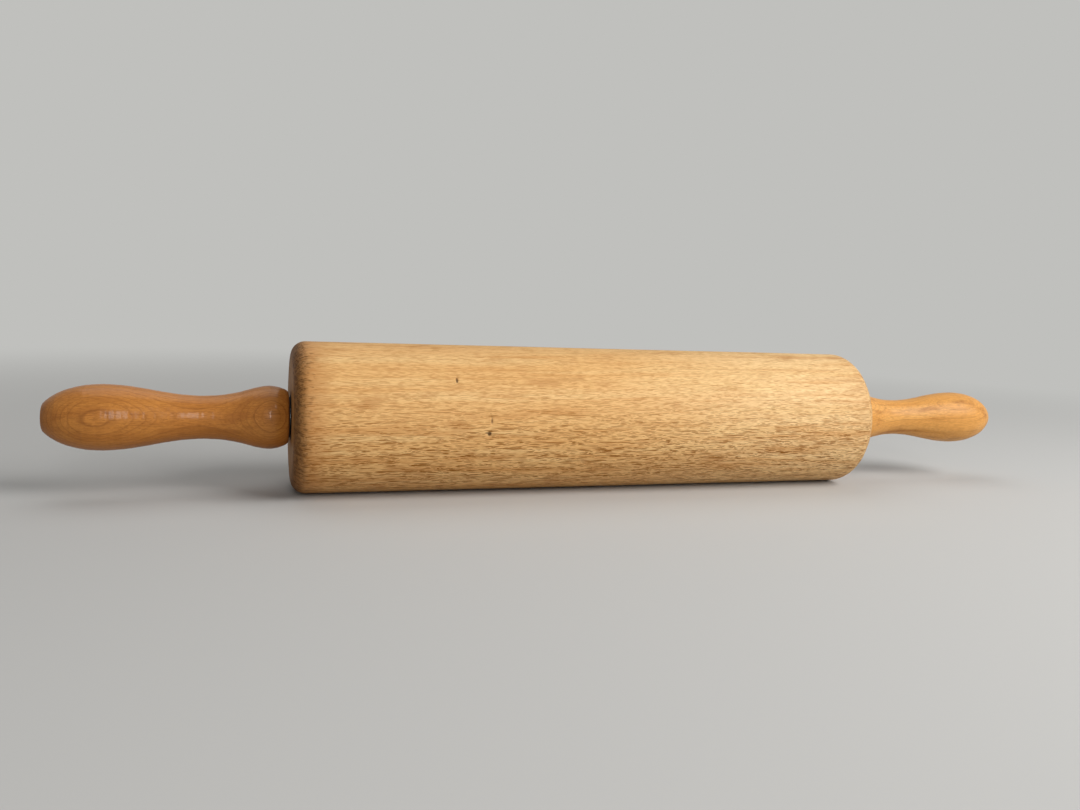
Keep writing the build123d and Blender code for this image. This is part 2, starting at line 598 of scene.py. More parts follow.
    def _grain(self, tree: bpy.types.NodeTree) -> Grain:
        """Places the piece in its log, with the heart along X and a slow bend along the trunk.

        Args:
            tree: the material's nodes.

        Returns:
            The sockets that tell where a point is.
        """
        own = add_node(tree, "ShaderNodeTexCoord").outputs["Object"]
        straight = add_node(
            tree,
            "ShaderNodeMapping",
            {
                "Vector": own,
                "Location": (0.0, self.heart_mm, 0.0),
                "Rotation": tuple(math.radians(a) for a in (self.heart_deg, *self.lean_deg)),
                "Scale": (1 / MM,) * 3,
            },
        ).outputs[0]
        bend = add_node(
            tree,
            "ShaderNodeTexNoise",
            {"Vector": straight, "Scale": 1 / self.bend_length_mm, "Detail": 1.0},
        ).outputs["Color"]
        shift = add_node(
            tree, "ShaderNodeVectorMath", {0: bend, 1: (NOISE_MEAN,) * 3}, operation="SUBTRACT"
        ).outputs[0]
        place = add_node(
            tree,
            "ShaderNodeVectorMath",
            {0: shift, 1: (0.0, self.bend_mm, self.bend_mm), 2: straight},
            operation="MULTIPLY_ADD",
        ).outputs[0]
        parts = add_node(tree, "ShaderNodeSeparateXYZ", {0: place}).outputs
        flat = add_node(tree, "ShaderNodeCombineXYZ", {1: parts[1], 2: parts[2]}).outputs[0]
        out = add_node(tree, "ShaderNodeVectorMath", {0: flat}, operation="LENGTH").outputs["Value"]
        around = add_node(tree, "ShaderNodeMath", {0: parts[2], 1: parts[1]}, operation="ARCTAN2")
        return Grain(place, parts[0], out, around.outputs[0])

    def _rings(self, tree: bpy.types.NodeTree, grain: Grain) -> bpy.types.NodeSocket:
        """Shades the growth rings: pale wood that darkens towards each ring's outer edge.

        Args:
            tree: the material's nodes.
            grain: where a point is in the log.

        Returns:
            The socket with 0 in pale wood and 1 in the darkest.
        """
        wobble = drawn_out(tree, grain.place, self.ring_wobble_mm)
        waved = add_node(
            tree,
            "ShaderNodeMath",
            {0: wobble, 1: self.ring_wobble * self.ring_mm, 2: grain.out},
            operation="MULTIPLY_ADD",
        ).outputs[0]
        uneven = add_node(
            tree,
            "ShaderNodeTexNoise",
            {"W": waved, "Scale": self.ring_unevenness / self.ring_mm},
            noise_dimensions="1D",
        ).outputs[0]
        years = add_node(
            tree, "ShaderNodeMath", {0: waved, 1: 1 / self.ring_mm, 2: uneven}, operation="MULTIPLY_ADD"
        ).outputs[0]
        share = add_node(tree, "ShaderNodeMath", {0: years}, operation="FRACT").outputs[0]
        ramp = add_node(tree, "ShaderNodeValToRGB", {"Fac": share})
        stops = ramp.color_ramp.elements
        stops.remove(stops[1])
        for index, (position, dark) in enumerate(RING_PROFILE):
            stop = stops.new(position) if index else stops[0]
            stop.position, stop.color = position, (dark, dark, dark, 1.0)
        year = add_node(tree, "ShaderNodeMath", {0: years}, operation="FLOOR").outputs[0]
        weather = add_node(tree, "ShaderNodeTexWhiteNoise", {"W": year}, noise_dimensions="1D")
        strong = add_node(
            tree, "ShaderNodeMapRange", {"Value": weather.outputs["Value"], "To Min": self.faintest_ring}
        ).outputs[0]
        return add_node(
            tree, "ShaderNodeMath", {0: ramp.outputs[0], 1: strong}, operation="MULTIPLY"
        ).outputs[0]

    def _rays(self, tree: bpy.types.NodeTree, grain: Grain) -> bpy.types.NodeSocket:
        """Scatters the rays, broad ones and fine ones, and slides their rows apart along the grain.

        Args:
            tree: the material's nodes.
            grain: where a point is in the log.

        Returns:
            The socket with 1 inside a ray and 0 outside.
        """
        slid = add_node(
            tree,
            "ShaderNodeMath",
            {0: drawn_out(tree, grain.place, self.ray_slip_mm), 1: self.ray_slip_mm[0], 2: grain.along},
            operation="MULTIPLY_ADD",
        ).outputs[0]
        cells = add_node(
            tree, "ShaderNodeCombineXYZ", {0: slid, 1: grain.around, 2: grain.out}
        ).outputs[0]
        kinds = []
        length, width, depth = self.ray_pitch_mm
        for size, strength in RAY_KINDS:
            scaled = add_node(
                tree,
                "ShaderNodeVectorMath",
                {0: cells, 1: (size * length, width / self.heart_mm, size * depth)},
                operation="DIVIDE",
            ).outputs[0]
            spots = add_node(tree, "ShaderNodeTexVoronoi", {"Vector": scaled, "Scale": 1.0}).outputs
            chance = add_node(tree, "ShaderNodeSeparateColor", {0: spots["Color"]}).outputs
            reach = add_node(
                tree,
                "ShaderNodeMapRange",
                {"Value": chance[0], "To Min": self.ray_reach[0], "To Max": self.ray_reach[1]},
            ).outputs[0]
            inside = add_node(tree, "ShaderNodeMath", {0: reach, 1: spots["Distance"]}, operation="SUBTRACT")
            edge = add_node(
                tree,
                "ShaderNodeMapRange",
                {"Value": inside.outputs[0], "From Min": self.ray_edge[0], "From Max": self.ray_edge[1]},
                interpolation_type="SMOOTHSTEP",
            ).outputs[0]
            dark = add_node(
                tree,
                "ShaderNodeMapRange",
                {"Value": chance[1], "To Min": self.faintest_ray * strength, "To Max": strength},
            ).outputs[0]
            shown = add_node(tree, "ShaderNodeMath", {0: edge, 1: dark}, operation="MULTIPLY")
            kinds.append(shown.outputs[0])
        return add_node(tree, "ShaderNodeMath", {0: kinds[0], 1: kinds[1]}, operation="MAXIMUM").outputs[0]

    def _cut_along_rings(self, tree: bpy.types.NodeTree) -> bpy.types.NodeSocket:
        """Tells how dark a ray shows: dark on a face along the rings, and faint on one across them.

        Args:
            tree: the material's nodes.

        Returns:
            The socket with 1 on a face along the rings.
        """
        coordinates = add_node(tree, "ShaderNodeTexCoord").outputs
        turn = math.radians(self.heart_deg)
        heart = (0.0, -math.cos(turn) * self.heart_mm * MM, math.sin(turn) * self.heart_mm * MM)
        out = add_node(
            tree, "ShaderNodeVectorMath", {0: coordinates["Object"], 1: heart}, operation="SUBTRACT"
        ).outputs[0]
        flat = add_node(tree, "ShaderNodeVectorMath", {0: out, 1: ACROSS}, operation="MULTIPLY").outputs[0]
        unit = add_node(tree, "ShaderNodeVectorMath", {0: flat}, operation="NORMALIZE").outputs[0]
        facing = add_node(
            tree, "ShaderNodeVectorMath", {0: unit, 1: coordinates["Normal"]}, operation="DOT_PRODUCT"
        ).outputs["Value"]
        either = add_node(tree, "ShaderNodeMath", {0: facing}, operation="ABSOLUTE").outputs[0]
        squarely = add_node(
            tree, "ShaderNodeMath", {0: either, 1: self.flake_sharpness}, operation="POWER"
        ).outputs[0]
        return add_node(
            tree, "ShaderNodeMapRange", {"Value": squarely, "To Min": self.flake_share}
        ).outputs[0]

    def _end_grain(self, tree: bpy.types.NodeTree) -> bpy.types.NodeSocket:
        """Tells how squarely a face cuts across the fibres.

        Args:
            tree: the material's nodes.

        Returns:
            The socket with 1 on end grain and 0 along the fibres.
        """
        normal = add_node(tree, "ShaderNodeTexCoord").outputs["Normal"]
        facing = add_node(tree, "ShaderNodeSeparateXYZ", {0: normal}).outputs[0]
        return add_node(tree, "ShaderNodeMath", {0: facing}, operation="ABSOLUTE").outputs[0]

    def _grime_and_shade(self, tree: bpy.types.NodeTree, rays: bpy.types.NodeSocket) -> list[Layer]:
        """Finds where the wood is darkened: dirt and oil in dents, and dirt, oil and painted shade at the
        rims.

        Args:
            tree: the material's nodes.
            rays: where the rays are, because dirt settles in them first.

        Returns:
            The layers to lay over the wood.
        """
        coordinates = add_node(tree, "ShaderNodeTexCoord").outputs
        worn = add_node(tree, "ShaderNodeAttribute", attribute_name=WEAR_NAME).outputs["Fac"]
        found = [Layer(self.grime_and_shade, worn, *self.worn_edge_mm, self.worn_strength)]
        dirt_and_shade = self.rim_dirt_and_shade
        if dirt_and_shade is None:
            return found
        own = coordinates["Object"]
        along = add_node(tree, "ShaderNodeSeparateXYZ", {0: own}).outputs[0]
        flat = add_node(tree, "ShaderNodeVectorMath", {0: own, 1: ACROSS}, operation="MULTIPLY").outputs[0]
        radius = add_node(tree, "ShaderNodeVectorMath", {0: flat}, operation="LENGTH").outputs["Value"]
        rim = add_node(
            tree,
            "ShaderNodeMapRange",
            {
                "Value": radius,
                "From Min": dirt_and_shade.face_radii_mm[0] * MM,
                "From Max": dirt_and_shade.face_radii_mm[1] * MM,
                "To Min": dirt_and_shade.face_shares[0],
                "To Max": dirt_and_shade.face_shares[1],
            },
            interpolation_type="SMOOTHSTEP",
        ).outputs[0]
        in_mm = add_node(tree, "ShaderNodeVectorMath", {0: own, 3: 1 / MM}, operation="SCALE").outputs[0]
        blots = drawn_out(tree, in_mm, dirt_and_shade.blot_mm, dirt_and_shade.blot_detail)
        caught = add_node(
            tree, "ShaderNodeMath", {0: rays, 1: dirt_and_shade.in_rays, 2: blots}, operation="MULTIPLY_ADD"
        ).outputs[0]
        for end_mm, strength in zip(dirt_and_shade.ends_mm, dirt_and_shade.strengths):
            inner_mm = end_mm - math.copysign(dirt_and_shade.reach_mm, end_mm)
            near = add_node(
                tree,
                "ShaderNodeMapRange",
                {"Value": along, "From Min": inner_mm * MM, "From Max": end_mm * MM, "To Max": rim},
            ).outputs[0]
            patchy = add_node(tree, "ShaderNodeMath", {0: near, 1: caught}, operation="MULTIPLY").outputs[0]
            # Near each rim: a stain and a smooth dark band, each partly dirt and partly painted shade, and
            # dark speckles of dirt
            for colour, value, (low, high, share) in (
                (self.stain_and_shade, near, dirt_and_shade.stained_and_shaded),
                (self.grime_and_shade, near, dirt_and_shade.oiled_and_shaded),
                (self.grime_and_shade, patchy, dirt_and_shade.speckled),
            ):
                found.append(Layer(colour, value, low, high, share * strength))
        return found

    def _shade(
        self,
        tree: bpy.types.NodeTree,
        place: bpy.types.NodeSocket,
        colour: bpy.types.NodeSocket,
        figure: tuple[bpy.types.NodeSocket, bpy.types.NodeSocket, bpy.types.NodeSocket],
    ) -> None:
        """Adds the shader: a dull wood, or a wood under a clear coat.

        Args:
            tree: the material's nodes.
            place: the place in the log.
            colour: the finished colour.
            figure: how dark each ring is, where the rays are, and the fibres' noise.
        """
        rings, rays, fibres = figure
        fuzz = drawn_out(tree, place, (2 * self.fuzz_mm, self.fuzz_mm))
        raised = add_node(tree, "ShaderNodeMath", {0: fuzz, 1: fibres}, operation="ADD").outputs[0]
        ringed = add_node(
            tree, "ShaderNodeMath", {0: rings, 1: self.ring_relief, 2: raised}, operation="MULTIPLY_ADD"
        ).outputs[0]
        height = add_node(
            tree, "ShaderNodeMath", {0: rays, 1: self.ray_relief, 2: ringed}, operation="MULTIPLY_ADD"
        ).outputs[0]
        bump = add_node(
            tree, "ShaderNodeBump", {"Height": height, "Strength": 1.0, "Distance": self.relief_mm * MM}
        ).outputs[0]
        smoothest, roughest = self.roughness - ROUGHNESS_SPREAD, self.roughness + ROUGHNESS_SPREAD
        rough = add_node(
            tree, "ShaderNodeMapRange", {"Value": fibres, "To Min": smoothest, "To Max": roughest}
        ).outputs[0]
        gloss = add_node(
            tree, "ShaderNodeMapRange", {"Value": rays, "To Min": self.gloss, "To Max": self.pore_gloss}
        ).outputs[0]
        shader = add_node(
            tree,
            "ShaderNodeBsdfPrincipled",
            {
                "Base Color": colour,
                "Roughness": rough,
                "Normal": bump,
                "IOR": self.ior,
                "Specular IOR Level": gloss,
                "Coat Weight": self.varnish,
                "Coat Roughness": self.varnish_roughness,
                "Coat IOR": self.ior,
            },
        )
        add_node(tree, "ShaderNodeOutputMaterial", {"Surface": shader.outputs[0]})


@dataclass(frozen=True)
class SteelFinish:
    """Steel with fine marks that run round the piece, greyer where they lie.

    Real marks are some hundredths of a millimetre apart, too fine to show, so mark_mm draws them
    about ten times as coarse.
    """

    name: str
    colour: str
    roughness: float
    dull: str = "#8C8E8F"
    mark_mm: float = 0.3
    mark_length_mm: float = 3.0
    relief_mm: float = 0.004

    def build(self) -> bpy.types.Material:
        """Makes the material.

        Returns:
            The material, ready for a slot.
        """
        material = blank_material(self.name)
        tree = material.node_tree
        own = add_node(tree, "ShaderNodeTexCoord").outputs["Object"]
        scaled = add_node(
            tree,
            "ShaderNodeVectorMath",
            {0: own, 1: (self.mark_mm * MM, self.mark_length_mm * MM, self.mark_length_mm * MM)},
            operation="DIVIDE",
        ).outputs[0]
        marks = add_node(
            tree, "ShaderNodeTexNoise", {"Vector": scaled, "Scale": 1.0, "Detail": 3.0}
        ).outputs[0]
        smoothest, roughest = self.roughness - ROUGHNESS_SPREAD, self.roughness + ROUGHNESS_SPREAD
        rough = add_node(
            tree, "ShaderNodeMapRange", {"Value": marks, "To Min": smoothest, "To Max": roughest}
        ).outputs[0]
        bump = add_node(
            tree, "ShaderNodeBump", {"Height": marks, "Strength": 1.0, "Distance": self.relief_mm * MM}
        ).outputs[0]
        greyed = add_node(
            tree,
            "ShaderNodeMix",
            {MIX_FACTOR: marks, MIX_A: linear(self.colour), MIX_B: linear(self.dull)},
            data_type="RGBA",
        ).outputs[MIX_RESULT]
        shader = add_node(
            tree,
            "ShaderNodeBsdfPrincipled",
            {"Base Color": greyed, "Metallic": 1.0, "Roughness": rough, "Normal": bump},
        )
        add_node(tree, "ShaderNodeOutputMaterial", {"Surface": shader.outputs[0]})
        return material


@dataclass(frozen=True)
class PolyamideFinish:
    """Black polyamide, injection moulded: an even matt skin with soft, faintly greyed mottles."""

    name: str = "polyamide_moulded_black"
    colour: str = "#1B1A19"
    rubbed: str = "#282625"
    mottle_mm: float = 1.5
    relief_mm: float = 0.01
    roughness: tuple[float, float] = (0.7, 0.85)
    ior: float = 1.53

    def build(self) -> bpy.types.Material:
        """Makes the material.

        Returns:
            The material, ready for a slot.
        """
        material = blank_material(self.name)
        tree = material.node_tree
        own = add_node(tree, "ShaderNodeTexCoord").outputs["Object"]
        mottle = add_node(
            tree, "ShaderNodeTexNoise", {"Vector": own, "Scale": 1 / (self.mottle_mm * MM), "Detail": 3.0}
        ).outputs[0]
        colour = add_node(
            tree,
            "ShaderNodeMix",
            {MIX_FACTOR: mottle, MIX_A: linear(self.colour), MIX_B: linear(self.rubbed)},
            data_type="RGBA",
        ).outputs[MIX_RESULT]
        bump = add_node(
            tree, "ShaderNodeBump", {"Height": mottle, "Strength": 1.0, "Distance": self.relief_mm * MM}
        ).outputs[0]
        least, most = self.roughness
        rough = add_node(
            tree, "ShaderNodeMapRange", {"Value": mottle, "To Min": least, "To Max": most}
        ).outputs[0]
        shader = add_node(
            tree,
            "ShaderNodeBsdfPrincipled",
            {"Base Color": colour, "Roughness": rough, "IOR": self.ior, "Normal": bump},
        )
        add_node(tree, "ShaderNodeOutputMaterial", {"Surface": shader.outputs[0]})
        return material


# Bare beech, turned, sanded and long in use: honey coloured and dull, with clear dark dashes on the
# faces along the rings, with dirt and painted shade on its rims, and its right end painted paler as painted
# light
ROLLER_BEECH = BeechFinish(
    name="beech_sanded_bare",
    early_wood="#DEB073",
    late_wood="#B67F45",
    pale_streak="#E6C288",
    dark_streak="#C68D50",
    stain_and_shade="#A56C36",
    ray="#7E4804",
    grime_and_shade="#442A14",
    heart_mm=73.0,
    heart_deg=144.0,
    # Painted light: the wood paler and whiter towards the right end, as if lit more strongly there
    painted_light_end="#F0D3A0",
    ring_strength=0.32,
    # Dirt on the rims with painted shade: a dark band and a stain on the rounded rims, much stronger at the
    # left end
    rim_dirt_and_shade=RimDirtAndShade(ends_mm=(-126.5, 126.5)),
    gloss=0.14,
)

# The same beech, turned and dipped in amber varnish: oranger, with clearer rings, dashes that the
# varnish softens, and a soft gloss
HANDLE_BEECH = BeechFinish(
    name="beech_amber_varnish",
    early_wood="#B37231",
    late_wood="#7F491A",
    pale_streak="#C0803A",
    dark_streak="#9A5D24",
    stain_and_shade="#8B5120",
    ray="#63350F",
    grime_and_shade="#3A200A",
    heart_mm=34.0,
    heart_deg=192.0,
    bend_mm=5.0,
    ring_mm=0.85,
    ring_strength=0.6,
    ray_pitch_mm=(2.8, 0.3, 6.0),
    ray_strength=0.35,
    fibre_strength=0.26,
    fuzz_mm=1.6,
    roughness=0.45,
    gloss=0.08,
    varnish=0.35,
    varnish_roughness=0.17,
    relief_mm=0.01,
    ring_relief=5.5,
)

# The right handle: a copy of the beech painted paler as painted light, with fainter rings and fibres, and
# with a duller varnish than the other
PAINTED_LIGHT_HANDLE_BEECH = replace(
    HANDLE_BEECH,
    heart_deg=40.0,
    # Painted light: paler wood and streaks than the other handle's
    early_wood="#D79A50",
    pale_streak="#DFA860",
    ring_strength=0.35,
    fibre_strength=0.2,
    varnish=0.25,
    varnish_roughness=0.36,
)

# A slice of varnished dowel: end grain, with the bow of the growth rings across it
PLUG_BEECH = replace(HANDLE_BEECH, name="beech_plug", heart_mm=17.0, ring_mm=1.1, end_grain_shade=0.2)

# Rod drawn through a die: bright, with a sheen along the axis
DRAWN_STEEL = SteelFinish("steel_bright_drawn", "#B4B6B8", 0.26)

# Small turned parts with a thin zinc plating: paler, and duller than the rod
PLATED_STEEL = SteelFinish("steel_zinc_plated", "#C9CBC8", 0.38)


@dataclass(frozen=True)
class Roller:
    """The beech roller, with the bushes in its ends.

    steps_mm has the largest distance between two points for each straight line from the rim into
    the bore. A wave has its bumps in one turn, and the millimetres along X that shift it a radian.
    """

    edge_mm: float = 5.5
    flange_depth_mm: float = 1.5
    bush_depth_mm: float = 20.0
    bush_radius_mm: float = 6.05
    bore_radius_mm: float = 5.0
    rim_points: int = 14
    station_mm: float = 1.6
    fine_station_mm: float = 0.3
    steps_mm: tuple[float, ...] = (1.6, 1.6, 1.6, 12.8, 1.6, 64.0)
    lathe: Lathe = Lathe(segments=360)
    seed: int = 11
    dents: Knocks = Knocks(46, (1.6, 4.5), (1.2, 2.6), (0.02, 0.08))
    dents_reach_mm: float = 118.0
    chips: Knocks = Knocks(26, (1.0, 2.2), (1.5, 5.0), (0.03, 0.12))
    chips_from_end_mm: tuple[float, float] = (0.4, 3.6)
    waves: tuple[tuple[int, float], ...] = ((3, 31.0), (5, 17.0), (8, 9.0))
    wave_mm: float = 0.012
    # The three nicks of the side that rests in front, each of two hollows
    nicks: tuple[Dent, ...] = (
        Dent(-65.6, 36.5, 0.75, 2.2, 0.5),
        Dent(-66.7, 34.0, 1.0, 0.6, 0.25),
        Dent(-53.3, -4.6, 1.1, 1.2, 0.6),
        Dent(-54.6, -4.0, 1.2, 0.5, 0.3),
        Dent(-52.5, 5.1, 0.6, 2.2, 0.34),
        Dent(-52.9, 8.4, 1.2, 0.5, 0.2),
    )

    def build(self) -> bpy.types.Object:
        """Turns the roller and puts it in place of its CAD node.

        Returns:
            The roller.
        """
        made = self.lathe.turn("roller_turned", self._outline(), self._wear)
        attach(made, Body.ROLLER.value)
        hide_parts("roller")
        return made

    def dress(self, roller: bpy.types.Object, nodes: Mapping[str, bpy.types.Object]) -> None:
        """Gives the roller its wood and the bushes their plastic.

        Args:
            roller: the turned roller.
            nodes: the CAD nodes by name.
        """
        roller.data.materials.append(ROLLER_BEECH.build())
        plastic = PolyamideFinish().build()
        for side in Side:
            paint(nodes[f"{side.word}_bearing_bush"], plastic)
            paint(nodes[f"{side.word}_thrust_washer"], plastic)

    def _outline(self) -> list[tuple[float, float]]:
        """Draws the roller's outline: straight sides, round rims, and a stepped bore.

        Returns:
            Place along X and radius of each point.
        """
        low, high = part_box("roller")
        end, radius = high.x, min(-low.y, high.y, -low.z, high.z)
        flange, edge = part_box("right_bearing_bush")[1].z, self.edge_mm * MM
        shoulder, seat = end - self.flange_depth_mm * MM, end - self.bush_depth_mm * MM
        bush, bore = self.bush_radius_mm * MM, self.bore_radius_mm * MM
        half = arc((end - edge, radius - edge), (edge, edge), (90.0, 0.0), self.rim_points)
        corners = [
            (end, radius - edge),
            (end, flange),
            (shoulder, flange),
            (shoulder, bush),
            (seat, bush),
            (seat, bore),
            (0.0, bore),
        ]
        half += run(corners, self.steps_mm)[1:]
        other = [(-x, r) for x, r in reversed(half)]
        return half + [(0.0, bore)] + other + self._stations(end - edge, radius)

    def _stations(self, reach: float, radius: float) -> list[tuple[float, float]]:
        """Divides the roller's straight side, finely where it has a nick.

        Args:
            reach: half the side's length.
            radius: the roller's radius.

        Returns:
            The points between the two round rims.
        """
        places = []
        place = -reach / MM
        while place < reach / MM - self.fine_station_mm:
            places.append(place)
            middle = place + self.station_mm / 2
            near = any(abs(middle - nick.place_mm) < 2 * self.station_mm for nick in self.nicks)
            place += self.fine_station_mm if near else self.station_mm
        return [(p * MM, radius) for p in places[1:]]

    def _wear(self, place: np.ndarray, radius: np.ndarray, angle: np.ndarray) -> np.ndarray:
        """Gives how far use has worn the wood away: nicks, shallow dents and knocked rims.

        Args:
            place: each point's X.
            radius: each point's distance from the axis.
            angle: each point's angle round it.

        Returns:
            The depth at each point in metres.
        """
        chance = np.random.default_rng(self.seed)
        hollows = [*self.nicks, *self.dents.scatter(chance, (-self.dents_reach_mm, self.dents_reach_mm))]
        end_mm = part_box("roller")[1].x / MM
        for side in Side:
            first, last = (side.value * (end_mm - inset) for inset in self.chips_from_end_mm)
            hollows += self.chips.scatter(chance, (first, last))
        worn = np.zeros_like(place)
        for hollow in hollows:
            worn += hollow.depth(place, radius, angle)
        for turns, length_mm in self.waves:
            worn += self.wave_mm * MM * (1 + np.sin(turns * angle + place / MM / length_mm + turns))
        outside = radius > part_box("right_bearing_bush")[1].z + self.station_mm * MM
        return np.where(outside, worn, 0.0)


@dataclass(frozen=True)
class Handle:
    """A turned handle with what holds it to the axle.

    A share is of the handle's length or of its largest radius. A pull says how far a curve's handle
    reaches towards the curve's other end. A ridge has its length along X and its height.
    """

    side: Side
    collar_share: float = 0.084
    neck_share: float = 0.366
    grip_share: float = 0.77
    face_share: float = 0.80
    face_pulls: tuple[float, float] = (0.06, 0.42)
    collar_pulls: tuple[float, float] = (0.5, 0.25)
    neck_pulls: tuple[float, float] = (0.56, 0.38)
    grip_pull: float = 0.38
    curve_points: tuple[int, int, int, int] = (24, 90, 120, 72)
    last_step_deg: float = 1.6
    neck_radius_mm: float = 8.3
    tip_radius_mm: float = 5.1
    tip_bevel_mm: float = 0.25
    plug_hole_radius_mm: float = 3.6
    plug_hole_depth_mm: float = 9.5
    screw_hole_radius_mm: float = 1.65
    bore_radius_mm: float = 4.02
    wood_past_axle_mm: float = 17.0
    bore_mouth_mm: float = 0.5
    bore_steps_mm: tuple[float, ...] = (2.0, 1.0, 6.0, 1.5, 8.0)
    face_step_mm: float = 1.2
    lathe: Lathe = Lathe(segments=144)
    seed: int = 5
    ridges_mm: tuple[tuple[float, float], ...] = ((1.3, 0.005), (1.9, 0.008), (3.1, 0.012), (7.3, 0.02))
    ridge_drift: float = 6.28
    ridge_sway: float = 0.4
    dents: Knocks = Knocks(9, (0.8, 2.0), (0.8, 1.8), (0.02, 0.07))
    dents_from_end_mm: float = 8.0
    unworn_tip_mm: float = 0.3
    unworn_face_mm: float = 0.01

    def build(self) -> bpy.types.Object:
        """Turns the handle and puts it in place of its CAD node.

        Returns:
            The handle.
        """
        outline = self._outline()
        if self.side is Side.LEFT:
            outline = [(-x, r) for x, r in reversed(outline)]
        made = self.lathe.turn(f"{self.side.word}_handle_turned", outline, self._wear)
        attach(made, Body.HANDLES.value)
        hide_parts(f"{self.side.word}_handle")
        return made

    def dress(
        self, handle: bpy.types.Object, nodes: Mapping[str, bpy.types.Object], plated: bpy.types.Material
    ) -> None:
        """Gives the handle its varnished wood, and its screw and screw washer their plating.

        Args:
            handle: the turned handle.
            nodes: the CAD nodes by name.
            plated: the zinc-plated steel.
        """
        # The right handle gets the copy of the beech painted paler as painted light
        wood = HANDLE_BEECH if self.side is Side.LEFT else PAINTED_LIGHT_HANDLE_BEECH
        handle.data.materials.append(replace(wood, name=f"{wood.name}_{self.side.word}").build())
        for piece in ("screw_washer", "handle_screw"):
            paint(nodes[f"{self.side.word}_{piece}"], plated)

    def _outline(self) -> list[tuple[float, float]]:
        """Draws the right-hand handle's outline: its turned side, its tip and its stepped bore.

        Returns:
            Place along X and radius of each point.
        """
        box_low, box_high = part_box(f"{Side.RIGHT.word}_handle")
        start, end, radius = box_low.x, box_high.x, box_high.z
        length = end - start
        collar = start + self.collar_share * length
        neck = start + self.neck_share * length
        grip = start + self.grip_share * length
        face, narrow, tip = self.face_share * radius, self.neck_radius_mm * MM, self.tip_radius_mm * MM
        height = tip / radius
        reach = (end - grip) / math.sqrt(1 - height**2)
        curves = (
            (
                (start, face),
                (start + self.face_pulls[0] * (collar - start), face + self.face_pulls[1] * (radius - face)),
                (collar - self.collar_pulls[0] * (collar - start), radius),
                (collar, radius),
            ),
            (
                (collar, radius),
                (collar + self.collar_pulls[1] * (neck - collar), radius),
                (neck - self.neck_pulls[0] * (neck - collar), narrow),
                (neck, narrow),
            ),
            (
                (neck, narrow),
                (neck + self.neck_pulls[1] * (grip - neck), narrow),
                (grip - self.grip_pull * (grip - neck), radius),
                (grip, radius),
            ),
        )
        made = []
        for curve, count in zip(curves, self.curve_points):
            made += bezier(curve, count)
        last_deg = math.degrees(math.asin(height)) + self.last_step_deg
        made += arc((grip, 0.0), (reach, radius), (90.0, last_deg), self.curve_points[-1])
        bevel, mouth = self.tip_bevel_mm * MM, self.bore_mouth_mm * MM
        made += [(end - bevel, tip), (end, tip - bevel)]
        radii_mm = (self.plug_hole_radius_mm, self.screw_hole_radius_mm, self.bore_radius_mm)
        hole, screw, bore = (r * MM for r in radii_mm)
        floor = end - self.plug_hole_depth_mm * MM
        axle = floor - self.wood_past_axle_mm * MM
        corners = [
            (end, hole),
            (floor, hole),
            (floor, screw),
            (axle, screw),
            (axle, bore),
            (start + mouth, bore),
        ]
        made += run(corners, self.bore_steps_mm)
        made.append((start + mouth, bore))
        made += run([(start, bore + mouth), (start, face)], [self.face_step_mm])
        return made

    def _wear(self, place: np.ndarray, radius: np.ndarray, angle: np.ndarray) -> np.ndarray:
        """Gives the depth of the turning's fine ridges and of the dents that use has left.

        Args:
            place: each point's X.
            radius: each point's distance from the axis.
            angle: each point's angle round it.

        Returns:
            The depth at each point in metres.
        """
        chance = np.random.default_rng(self.seed + self.side.value)
        worn = np.zeros_like(place)
        for length_mm, height_mm in self.ridges_mm:
            drift = chance.uniform(0, self.ridge_drift)
            sway = self.ridge_sway * np.sin(angle + drift)
            worn += height_mm * MM * (1 + np.sin(2 * np.pi * place / MM / length_mm + drift + sway))
        low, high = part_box(f"{self.side.word}_handle")
        between_mm = (low.x / MM + self.dents_from_end_mm, high.x / MM - self.dents_from_end_mm)
        for dent in self.dents.scatter(chance, between_mm):
            worn += dent.depth(place, radius, angle)
        inner = self.tip_radius_mm * MM
        right_low, right_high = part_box("right_handle")
        end = np.abs(place) > right_high.x - self.unworn_tip_mm * MM
        face = np.abs(place) < right_low.x + self.unworn_face_mm * MM
        outside = (radius > inner) & ~end & ~face
        return np.where(outside, worn, 0.0)


@dataclass(frozen=True)
class EndPlug:
    """The beech plug in a handle's tip, a slice of dowel that shows its end grain."""

    side: Side
    heart_deg: float = 57.0

    def dress(self, nodes: Mapping[str, bpy.types.Object]) -> None:
        """Gives the plug its wood.

        Args:
            nodes: the CAD nodes by name.
        """
        wood = replace(
            PLUG_BEECH,
            name=f"{PLUG_BEECH.name}_{self.side.word}",
            heart_deg=self.side.value * self.heart_deg,
        )
        paint(nodes[f"{self.side.word}_end_plug"], wood.build())


@dataclass(frozen=True)
class Lamp:
    """A soft rectangular lamp that faces the object, in metres."""

    name: str
    place: tuple[float, float, float]
    sides: tuple[float, float]
    watts: float

    def hang(self) -> None:
        """Adds the lamp to the scene."""
        light = bpy.data.lights.new(self.name, "AREA")
        light.shape = "RECTANGLE"
        light.size, light.size_y = self.sides
        light.energy = self.watts
        lamp = bpy.data.objects.new(self.name, light)
        lamp.location = self.place
        lamp.rotation_euler = (-Vector(self.place)).to_track_quat("-Z", "Y").to_euler()
        bpy.context.scene.collection.objects.link(lamp)


